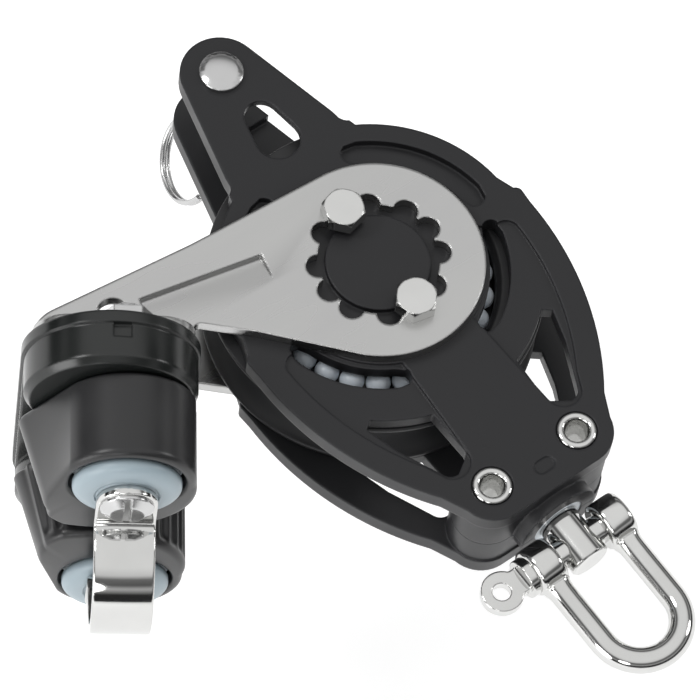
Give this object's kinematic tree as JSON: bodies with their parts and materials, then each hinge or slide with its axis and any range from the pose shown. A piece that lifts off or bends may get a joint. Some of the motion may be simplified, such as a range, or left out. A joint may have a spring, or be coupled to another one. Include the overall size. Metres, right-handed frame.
{
  "type": "swivel block with becket and cam cleat",
  "caption": "Ball-bearing sheave block with a becket, a swivelling D-shackle and a cam cleat with an arched fairlead, held on two slotted steel arms.",
  "frame": {"origin": "centre of the sheave, on its axle and midway between the cheeks", "axes": "+Z along the sheave's axle towards the front cheek, +Y towards the becket, -Y towards the shackle, +X to the right as seen from the front"},
  "size_m": [0.1033, 0.1351, 0.0672],
  "materials": {
    "cheek_composite": "satin moulded glass-filled nylon, black",
    "hub_composite": "moulded acetal, dark grey",
    "sheave_composite": "turned and moulded acetal, black",
    "cleat_composite": "glossy moulded composite, black",
    "cam_composite": "moulded composite, black",
    "bush_acetal": "smooth acetal, pale blue-grey",
    "bearing_acetal": "smooth acetal, off-white",
    "satin_steel": "satin stainless sheet with softened edges",
    "polished_steel": "polished stainless steel",
    "plain_steel": "bright stainless steel"
  },
  "bodies": {
    "block_frame": {"front_cheek": "cheek_composite", "rear_cheek": "cheek_composite", "bearing_hub": "hub_composite", "left_head_rivet": "polished_steel", "right_head_rivet": "polished_steel", "becket_pin": "plain_steel", "swivel_bush": "bearing_acetal", "front_arm": "satin_steel", "rear_arm": "satin_steel", "upper_arm_bolt": "polished_steel", "lower_arm_bolt": "polished_steel", "upper_arm_nut": "polished_steel", "lower_arm_nut": "polished_steel", "cleat_base": "cleat_composite", "front_cam_bush": "bush_acetal", "rear_cam_bush": "bush_acetal", "front_cam_spring": "plain_steel", "rear_cam_spring": "plain_steel", "fairlead_strap": "polished_steel", "front_cleat_screw": "plain_steel", "rear_cleat_screw": "plain_steel", "front_cleat_nut": "plain_steel", "rear_cleat_nut": "plain_steel"},
    "sheave_wheel": {"sheave": "sheave_composite"},
    "front_ball_row": {"front_bearing_balls": "bearing_acetal"},
    "rear_ball_row": {"rear_bearing_balls": "bearing_acetal"},
    "swivel": {"swivel_post": "polished_steel"},
    "shackle": {"shackle_bow": "polished_steel", "shackle_pin": "polished_steel"},
    "ring": {"split_ring": "plain_steel"},
    "front_cam_body": {"front_cam": "cam_composite"},
    "rear_cam_body": {"rear_cam": "cam_composite"},
    "front_cam_ball_ring": {"front_cam_balls": "bearing_acetal"},
    "rear_cam_ball_ring": {"rear_cam_balls": "bearing_acetal"}
  },
  "joints": [
    {"name": "sheave_spin", "type": "hinge", "parent": "block_frame", "child": "sheave_wheel", "pos_m": [0, 0, 0], "axis": [0, 0, 1], "continuous": true},
    {"name": "front_balls_roll", "type": "hinge", "parent": "block_frame", "child": "front_ball_row", "pos_m": [0, 0, 0], "axis": [0, 0, 1], "continuous": true},
    {"name": "rear_balls_roll", "type": "hinge", "parent": "block_frame", "child": "rear_ball_row", "pos_m": [0, 0, 0], "axis": [0, 0, 1], "continuous": true},
    {"name": "swivel_turn", "type": "hinge", "parent": "block_frame", "child": "swivel", "pos_m": [0, -0.05, 0], "axis": [0, 1, 0], "continuous": true},
    {"name": "shackle_pivot", "type": "hinge", "parent": "swivel", "child": "shackle", "pos_m": [0, -0.0562, 0], "axis": [1, 0, 0], "range_deg": [-80, 80]},
    {"name": "ring_swing", "type": "hinge", "parent": "block_frame", "child": "ring", "pos_m": [0, 0.0438, -0.0123], "axis": [-0.3584, -0.9336, 0], "range_deg": [-12, 20]},
    {"name": "front_cam_open", "type": "hinge", "parent": "block_frame", "child": "front_cam_body", "pos_m": [-0.05604, -0.00551, 0.019], "axis": [-0.5878, -0.809, 0], "range_deg": [-55, 0], "stiffness_Nm_per_rad": 0.02, "springref_deg": 34.38},
    {"name": "rear_cam_open", "type": "hinge", "parent": "block_frame", "child": "rear_cam_body", "pos_m": [-0.05604, -0.00551, -0.019], "axis": [-0.5878, -0.809, 0], "range_deg": [0, 55], "stiffness_Nm_per_rad": 0.02, "springref_deg": -34.38},
    {"name": "front_cam_balls_roll", "type": "hinge", "parent": "block_frame", "child": "front_cam_ball_ring", "pos_m": [-0.05604, -0.00551, 0.019], "axis": [-0.5878, -0.809, 0], "range_deg": [-60, 60]},
    {"name": "rear_cam_balls_roll", "type": "hinge", "parent": "block_frame", "child": "rear_cam_ball_ring", "pos_m": [-0.05604, -0.00551, -0.019], "axis": [-0.5878, -0.809, 0], "range_deg": [-60, 60]}
  ],
  "couplings": [
    {"joint": "front_balls_roll", "follows": "sheave_spin", "ratio": 0.558},
    {"joint": "rear_balls_roll", "follows": "sheave_spin", "ratio": 0.558},
    {"joint": "front_cam_balls_roll", "follows": "front_cam_open", "ratio": 0.625},
    {"joint": "rear_cam_balls_roll", "follows": "rear_cam_open", "ratio": 0.625}
  ]
}
